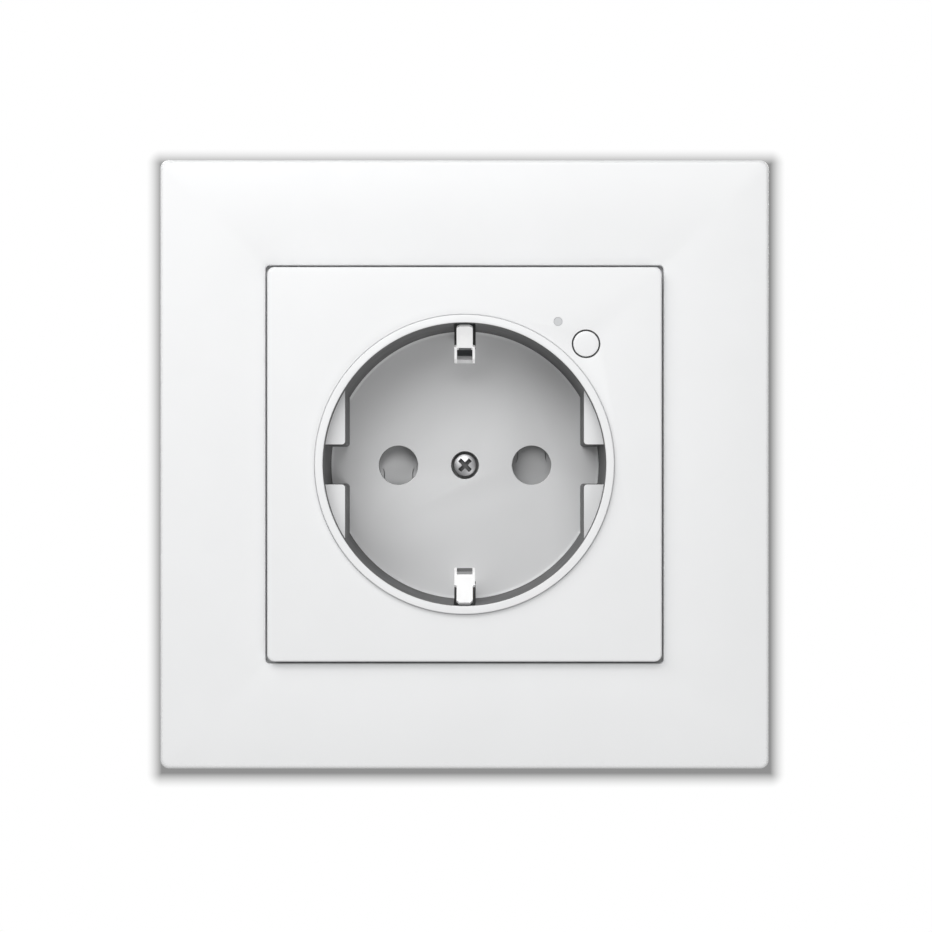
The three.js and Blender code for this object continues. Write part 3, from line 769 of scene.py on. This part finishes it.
def bow_width(tongue, d):
    """Half-width of a clip: the tongue, the wider shoulders, the nose and riser, and the narrow foot."""
    if d < tongue:
        return TONGUE_HALF
    if d < tongue + SHOULDER_LENGTH:
        return SHOULDER_HALF
    if d < FOOT_START:
        return NOSE_HALF
    return FOOT_HALF


def upper_width(d):
    """The upper clip's tongue ends in rounded corners."""
    radius = 0.46
    if d < radius:
        return TONGUE_HALF - radius + math.sqrt(radius**2 - (radius - d) ** 2)
    return bow_width(UPPER_TONGUE, d)


def lower_width(d):
    """The lower clip's tongue ends in chamfered corners."""
    chamfer_width, chamfer_length = 0.35, 0.42
    if d < chamfer_length:
        return TONGUE_HALF - chamfer_width + d * chamfer_width / chamfer_length
    return bow_width(LOWER_TONGUE, d)


def earth_clips():
    """The two bows; the upper one has a bent riser with a window of its own."""
    upper_path = [*CLIP_FOOT, *CLIP_RISER, *UPPER_CLIP_BOW]
    upper = bent_strip("upper_clip_bow", upper_path, upper_width, [UPPER_NOSE_WINDOW, RISER_WINDOW])
    lower_path = [*CLIP_FOOT, *LOWER_CLIP_BOW]
    lower = bent_strip("lower_clip_bow", lower_path, lower_width, [LOWER_NOSE_WINDOW], mirror=-1)
    return upper, lower


def dull_and_shade_window_edge(clip, edge_material):
    """Gives the cut edge inside the nose's window a material of its own; on the upper clip it is the duller
    metal of a sheared edge, on the lower clip a painted shade.
    """
    clip.data.materials.append(edge_material)
    half = (WINDOW_HALF - 0.01) * MM
    for face in clip.data.polygons:
        centre = face.center
        at_nose = abs(centre.x) < half and -1.7 * MM < centre.y < -0.5 * MM
        if at_nose and face.normal.y < -0.5:
            face.material_index = 1


# ---------------------------------------------------------------- shutter


def shutter():
    """The turning disc: a hub, two wings, and on each wing the sloped tab that a pin pushes aside."""
    wing_front = SHUTTER_FRONT + 0.95 * MM
    hub, arm_half, wing = 4.7 * MM, 2.2 * MM, 3.325 * MM
    body = turned("shutter_disc_fine", [(hub, wing_front), (hub, SHUTTER_BACK)], 72)
    arm = box_solid("arm", (-PIN_OFFSET, wing_front, -arm_half), (PIN_OFFSET, SHUTTER_BACK, arm_half))
    end = [(wing, wing_front), (wing, SHUTTER_BACK)]
    add_to(body, arm, *[turned("end", end, 48, x) for x in (-PIN_OFFSET, PIN_OFFSET)])
    for side in (-1, 1):
        add_to(body, shutter_ramp(side, wing_front))
        cut_from(body, *ramp_grooves(side))
    cut_from(body, turned("bore", [(3 * MM, 0), (3 * MM, BOSS_BACK + 1 * MM)], 72))
    return tidy_faces(body)


def shutter_ramp(side, base):
    """The ramp on one wing, rising towards the wing's edge; the two ramps are half a turn apart."""
    half = 3.2 * MM
    foot, crest, end = 0.75 * MM, -2.1 * MM, -3.3 * MM
    back = SHUTTER_BACK - 0.5 * MM
    profile = [(foot, base), (crest, SHUTTER_FRONT), (end, SHUTTER_FRONT), (end, back), (foot, back)]
    loops = [[(side * (x - PIN_OFFSET), y, side * z) for z, y in profile] for x in (-half, half)]
    ramp = skin_loops("ramp", loops)
    within = 3.3 * MM
    wing = [(within, SHUTTER_FRONT - 1 * MM), (within, SHUTTER_BACK)]
    return combine(ramp, [turned("wing", wing, 48, -side * PIN_OFFSET)], "INTERSECT")


def ramp_grooves(side):
    """Tools for the two fine grooves down a ramp, which lean a little outwards at one end."""
    narrow = 0.07 * MM
    offset = 2.02 * MM
    lean = 0.16 * MM
    start, bend, end = -2.8 * MM, -1 * MM, -0.5 * MM
    front, back = SHUTTER_FRONT - 0.5 * MM, SHUTTER_FRONT + 0.9 * MM
    tools = []
    for hand in (-1, 1):
        at = hand * offset
        top = at + hand * lean
        outline = [(at - narrow, start), (at + narrow, start), (at + narrow, bend)]
        outline += [(top + narrow, end), (top - narrow, end), (at - narrow, bend)]
        loops = [[(side * (x - PIN_OFFSET), y, side * z) for x, z in outline] for y in (front, back)]
        tools.append(skin_loops("groove", loops))
    return tools


# ---------------------------------------------------------------- housings


def body_loop(inset, y):
    """The casing's outline at depth y, a distance inside its outer wall."""
    return square_loop(BODY_HALF - inset, BODY_CORNER - inset, y, 12)


def release_window(release):
    """Tool for the rear cover's window round one release button."""
    half_x, half_z = 2.35 * MM, 1.45 * MM
    outline = square_loop(half_x, 0.3 * MM, 0, 4, half_z)
    window = [
        [(release.x + px, y, release.z + pz) for px, _, pz in outline]
        for y in (BODY_BACK - 3 * MM, BODY_BACK + 1 * MM)
    ]
    return skin_loops("window", window)


def rear_cover():
    """The rear casing: rounded back edge, flared wire holes, release windows and screw pockets."""
    wall = 1.8 * MM
    edge = 1.2 * MM
    rim = 0.15 * MM
    loops = [body_loop(rim, SPLIT_FRONT), body_loop(0, SPLIT_FRONT + rim)]
    loops += [body_loop(inset, y) for inset, y in arc((edge, BODY_BACK - edge), edge, 180, 90, 6)]
    cover = skin_loops("rear_cover_fine", loops)
    hollow = [body_loop(wall, y) for y in (SPLIT_FRONT - 1 * MM, BODY_BACK - wall)]
    cut_from(cover, skin_loops("hollow", hollow))
    screws = [middle(f"housing_screw_{k}") for k in range(1, 5)]
    boss = [(2.1 * MM, SPLIT_FRONT), (2.1 * MM, BODY_BACK - wall + 0.5 * MM)]
    add_to(cover, *[turned("boss", boss, 32, screw.x, screw.z) for screw in screws])
    tools = []
    for screw in screws:
        tools.append(rear_hole(1.25 * MM, screw.x, screw.z, SPLIT_FRONT - 1 * MM))
        tools.append(rear_hole(2.05 * MM, screw.x, screw.z, BODY_BACK - 1.5 * MM, 0.2 * MM))
    wire_hole, wire_offset, wire_z = 1.55 * MM, 1.9 * MM, -19.3 * MM
    for pole in POLES:
        release = middle(f"{pole}_release")
        for x in (release.x - wire_offset, release.x + wire_offset):
            tools.append(rear_hole(wire_hole, x, wire_z, BODY_BACK - 3 * MM, 0.35 * MM))
        tools.append(release_window(release))
    cut_from(cover, *tools)
    return tidy_faces(cover)


def rear_hole(radius, x, z, front, lip=0.0):
    """A round hole's tool from the back, flared where it meets the rear face."""
    profile = [(radius, front)]
    if lip:
        profile += arc((radius + lip, BODY_BACK - lip), lip, 180, 90, 4)
    profile.append((radius + lip, BODY_BACK + 1 * MM))
    return turned("rear_hole", profile, 40, x, z)


def housing_screw(k):
    """A small cross-head housing screw, each turned a little further than the one before."""
    node = f"housing_screw_{k}"
    x, z = middle(node).x, middle(node).z
    front, back = low(node).y, high(node).y
    head, thick, edge = 1.85 * MM, 1.3 * MM, 0.35 * MM
    root, outside = 0.85 * MM, 1.05 * MM
    pitch = 0.7 * MM
    profile = [(0.2 * MM, front), (root, front + 1.1 * MM)]
    for turn in range(int((back - thick - front - 2 * MM) / pitch)):
        y = front + 1.2 * MM + turn * pitch
        profile += [(root, y), (outside, y + 0.3 * MM), (root, y + 0.55 * MM)]
    profile += [(0.95 * MM, back - thick), (head, back - thick)]
    profile += arc((head - edge, back - edge), edge, 0, 80, 5)
    profile.append((0.1 * MM, back))
    screw = turned(f"housing_screw_fine_{k}", profile, 40, x, z)
    half, narrow = 1.15 * MM, 0.22 * MM
    bottom = (half * 0.4, narrow, back - 0.9 * MM)
    mouth = [(half, narrow, back - 0.05 * MM), (half, narrow, back + 0.5 * MM)]
    cut_from(screw, *cross_tool([bottom, *mouth], 0.3 * k, x, z))
    return soften(screw)


def release_button(pole):
    """A release's stem with its rounded end and finger ribs, and its flange behind the cover."""
    node = f"{pole}_release"
    lo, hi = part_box(node)
    x, z = middle(node).x, middle(node).z
    edge = 0.3 * MM
    half_x, half_z = 2.1 * MM, 1.2 * MM
    sections = [(0, lo.y), (0, hi.y - edge), (edge * 0.3, hi.y - edge * 0.3), (edge, hi.y)]
    loops = []
    for inset, y in sections:
        outline = square_loop(half_x - inset, 0.45 * MM, 0, 4, half_z - inset)
        loops.append([(x + px, y, z + pz) for px, _, pz in outline])
    stem = skin_loops(f"{pole}_release_fine", loops)
    flange_front, flange_back = 30.6 * MM, 31.6 * MM
    add_to(stem, box_solid("flange", (lo.x, flange_front, lo.z), (hi.x, flange_back, hi.z)))
    rib_half, rib_depth = 1.3 * MM, 0.25 * MM
    for dz in (-0.65, -0.125, 0.4):
        lowest = (x - rib_half, hi.y - rib_depth, z + dz * MM)
        highest = (x + rib_half, hi.y + 1 * MM, z + (dz + 0.25) * MM)
        cut_from(stem, box_solid("rib", lowest, highest))
    return tidy_faces(stem)


# ---------------------------------------------------------------- CAD nodes that stay


def keep_node(name, material, width):
    """A CAD node whose shape is right, with its own material and, given a width, eased edges."""
    node = NODES[name]
    node.data.materials.clear()
    node.data.materials.append(material)
    soften(node)
    if width:
        flat = node.modifiers.new("flat", "DECIMATE")
        flat.decimate_type = "DISSOLVE"
        flat.angle_limit = math.radians(1)
        ease_edges(node, width)


# Each kept node's material, and the width of its eased edges in millimetres.
KEPT = {
    "mounting_plate": (SHEET, 0),
    "earth_bracket": (SHEET, 0.1),
    "base_housing": (HOUSING, 0.2),
    "upper_plate_rivet": (SCREW, 0.15),
    "lower_plate_rivet": (SCREW, 0.15),
    "control_board": (BOARD, 0.05),
    "power_board": (BOARD, 0.05),
    "radio_board": (BOARD, 0.05),
    "tact_switch": (BLACK, 0.08),
    "tact_plunger": (HOUSING, 0.04),
    "status_led": (WINDOW, 0.06),
    "link_header": (BLACK, 0.04),
    "shutter_spring": (SPRING, 0),
    "line_contact": (BRASS, 0.08),
    "neutral_contact": (BRASS, 0.08),
    "line_terminal": (BRASS, 0.08),
    "earth_terminal": (BRASS, 0.08),
    "neutral_terminal": (BRASS, 0.08),
    "line_clamp_spring": (SPRING, 0.05),
    "earth_clamp_spring": (SPRING, 0.05),
    "neutral_clamp_spring": (SPRING, 0.05),
    "line_bar": (COPPER, 0.06),
    "neutral_bar": (COPPER, 0.06),
    "earth_bar": (COPPER, 0.06),
    "relay_bar": (COPPER, 0.06),
    "relay": (RELAY, 0.4),
    "transformer_core": (FERRITE, 0.15),
    "transformer_winding": (COPPER, 0.3),
    "bulk_capacitor": (BLACK, 0.15),
    "output_capacitor": (CAN, 0.15),
    "suppression_capacitor": (FILM, 0.4),
    "varistor": (CERAMIC, 0.5),
    "fuse": (CAN, 0.1),
    "bridge_rectifier": (BLACK, 0.25),
    "radio_shield": (CAN, 0.12),
}


# ---------------------------------------------------------------- assembly


def place_front():
    """The frame, the plate with its controls, the clips and the shutter."""
    place(outer_frame(), "insert", WHITE, "front_white", "outer_frame")
    plate = place(cover_plate(), "insert", WHITE, "front_white", "cover_plate")
    # painted shade on the well's steep faces and the slot ledges
    paint_well_shade(plate)
    ease_edges(plate, 0.08 * MM)
    place(push_button(), "button", WHITE, "front_white", "push_button")
    place(light_pipe(), "insert", WINDOW, "light_window", "light_pipe")
    screw = place(cover_screw(), "insert", HEAD, "screw_steel", "cover_screw")
    # painted shade inside the cross recess
    paint_recess_shade(screw)
    ease_edges(screw, 0.02 * MM)
    upper, lower = earth_clips()
    # the clips carry a painted reflection: their nickel glows a little
    place(upper, "upper_clip", CLIP, "spring_steel", "upper_earth_clip")
    place(lower, "lower_clip", CLIP, "spring_steel", "lower_earth_clip")
    dull_and_shade_window_edge(upper, CUT_EDGE)
    # painted shade on the lower clip's window edge
    dull_and_shade_window_edge(lower, LOWER_EDGE_PAINTED_SHADE)
    disc = place(shutter(), "shutter_disc", SHUTTER, "shutter_grey", "shutter")
    ease_edges(disc, 0.1 * MM)


def place_back():
    """The rear cover, its screws and the release buttons."""
    cover = place(rear_cover(), "insert", HOUSING, "housing_grey", "rear_cover")
    ease_edges(cover, 0.08 * MM)
    for k in range(1, 5):
        place(housing_screw(k), "insert", SCREW, "screw_steel", f"housing_screw_{k}")
    for pole in POLES:
        button = release_button(pole)
        place(button, f"{pole}_release_button", RELEASE, "release_white", f"{pole}_release")
        ease_edges(button, 0.08 * MM)


place_front()
place_back()
for name, (material, width) in KEPT.items():
    keep_node(name, material, width * MM)


# ---------------------------------------------------------------- light, backdrop and camera


def world_light(background, ambient):
    """White behind the object, and a weaker white light all round it."""
    world = bpy.data.worlds.new("studio")
    bpy.context.scene.world = world
    world.use_nodes = True
    tree = world.node_tree
    tree.nodes.clear()
    seen = tree.nodes.new("ShaderNodeBackground")
    seen.inputs["Color"].default_value = (1, 1, 1, 1)
    seen.inputs["Strength"].default_value = background
    lit = tree.nodes.new("ShaderNodeBackground")
    lit.inputs["Color"].default_value = (1, 1, 1, 1)
    lit.inputs["Strength"].default_value = ambient
    path = tree.nodes.new("ShaderNodeLightPath")
    mix = tree.nodes.new("ShaderNodeMixShader")
    out = tree.nodes.new("ShaderNodeOutputWorld")
    tree.links.new(path.outputs["Is Camera Ray"], mix.inputs["Fac"])
    tree.links.new(lit.outputs["Background"], mix.inputs[1])
    tree.links.new(seen.outputs["Background"], mix.inputs[2])
    tree.links.new(mix.outputs["Shader"], out.inputs["Surface"])


def soft_box(name, azimuth, elevation, distance, size, power):
    """A round soft light aimed at the socket's centre; the angles are seen from the front, in degrees."""
    data = bpy.data.lights.new(name, "AREA")
    data.shape = "DISK"
    data.size = size
    data.energy = power
    lamp = bpy.data.objects.new(name, data)
    turn, rise = math.radians(azimuth), math.radians(elevation)
    towards = Vector((math.cos(rise) * math.sin(turn), -math.cos(rise) * math.cos(turn), math.sin(rise)))
    lamp.location = distance * towards
    lamp.rotation_euler = (-towards).to_track_quat("-Z", "Y").to_euler()
    bpy.context.scene.collection.objects.link(lamp)


def shadow_material(half, centre, reach):
    """See-through dark that fades over its reach from a rounded square, and is clear from behind."""
    darkest = 0.72
    falloff = 1.5
    material = bpy.data.materials.new("wall_shadow")
    material.use_nodes = True
    tree = material.node_tree
    tree.nodes.clear()

    def maths(operation, first, second=0.0, clamp=False):
        node = tree.nodes.new("ShaderNodeMath")
        node.operation = operation
        node.use_clamp = clamp
        for socket, value in zip(node.inputs, (first, second)):
            if isinstance(value, (int, float)):
                socket.default_value = value
            else:
                tree.links.new(value, socket)
        return node.outputs["Value"]

    where = tree.nodes.new("ShaderNodeTexCoord")
    split = tree.nodes.new("ShaderNodeSeparateXYZ")
    tree.links.new(where.outputs["Object"], split.inputs["Vector"])
    beyond = []
    for axis, middle_of_shadow in zip("XZ", centre):
        from_middle = maths("ABSOLUTE", maths("SUBTRACT", split.outputs[axis], middle_of_shadow))
        beyond.append(maths("MAXIMUM", maths("SUBTRACT", from_middle, half), 0.0))
    squares = [maths("MULTIPLY", b, b) for b in beyond]
    distance = maths("SQRT", maths("ADD", *squares))
    nearness = maths("SUBTRACT", 1.0, maths("DIVIDE", distance, reach), clamp=True)
    dark = maths("MULTIPLY", maths("POWER", nearness, falloff), darkest)
    surface = tree.nodes.new("ShaderNodeNewGeometry")
    seen = maths("MULTIPLY", dark, maths("SUBTRACT", 1.0, surface.outputs["Backfacing"]))
    clear = tree.nodes.new("ShaderNodeBsdfTransparent")
    black = tree.nodes.new("ShaderNodeBsdfDiffuse")
    black.inputs["Color"].default_value = (0, 0, 0, 1)
    mix = tree.nodes.new("ShaderNodeMixShader")
    out = tree.nodes.new("ShaderNodeOutputMaterial")
    tree.links.new(seen, mix.inputs["Fac"])
    tree.links.new(clear.outputs["BSDF"], mix.inputs[1])
    tree.links.new(black.outputs["BSDF"], mix.inputs[2])
    tree.links.new(mix.outputs["Shader"], out.inputs["Surface"])
    return material


def wall_shadow():
    """The frame's soft, close shadow on the white wall: a thin see-through ring round the frame."""
    gap, width, corner = 0.1 * MM, 5 * MM, 1.2 * MM
    dark_margin, reach = 0.55 * MM, 2.2 * MM
    offset = (0.16 * MM, -0.54 * MM)
    inside = square_loop(FRAME_HALF + gap, corner, 0)
    outside = square_loop(FRAME_HALF + width, corner, 0)
    count = len(inside)
    faces = [(k, (k + 1) % count, count + (k + 1) % count, count + k) for k in range(count)]
    ring = mesh_object("wall_shadow", [*inside, *outside], faces)
    if ring.data.polygons[0].normal.y > 0:
        ring.data.flip_normals()
    ring.data.materials.append(shadow_material(FRAME_HALF + dark_margin, offset, reach))
    ring.visible_shadow = False
    ring.visible_diffuse = False
    ring.visible_glossy = False


def camera():
    """A long lens facing the front, a little to the right and below, and shifted back to the middle."""
    data = bpy.data.cameras.new("camera")
    data.sensor_width = 36
    data.lens = 194
    aside, beneath = 3 * MM, 5 * MM
    middle_x, middle_z = 0.22 * MM, -0.24 * MM
    distance = 0.7105
    view_width = (distance + COLLAR_FRONT) * data.sensor_width / data.lens
    data.shift_x = -aside / view_width
    data.shift_y = beneath / view_width
    data.clip_start, data.clip_end = 0.01, 10
    seen_from = bpy.data.objects.new("camera", data)
    seen_from.location = (middle_x + aside, -distance, middle_z - beneath)
    seen_from.rotation_euler = (TAU / 4, 0, 0)
    bpy.context.scene.collection.objects.link(seen_from)
    bpy.context.scene.camera = seen_from


bpy.context.scene.view_settings.view_transform = "Standard"
world_light(1.0, 0.39)
soft_box("near_top", 0, 30, 0.35, 0.2, 0.33)
soft_box("near_corner", -40, 40, 0.35, 0.25, 0.32)
soft_box("near_left", -22, 22, 0.35, 0.2, 0.21)
soft_box("low_right", 35, -30, 0.6, 0.3, 0.61)
soft_box("below", 0, -55, 0.6, 0.3, 0.21)
soft_box("behind_left", -145, 35, 0.6, 0.35, 2.2)
soft_box("behind_right", 150, 20, 0.7, 0.35, 1.6)
wall_shadow()
camera()
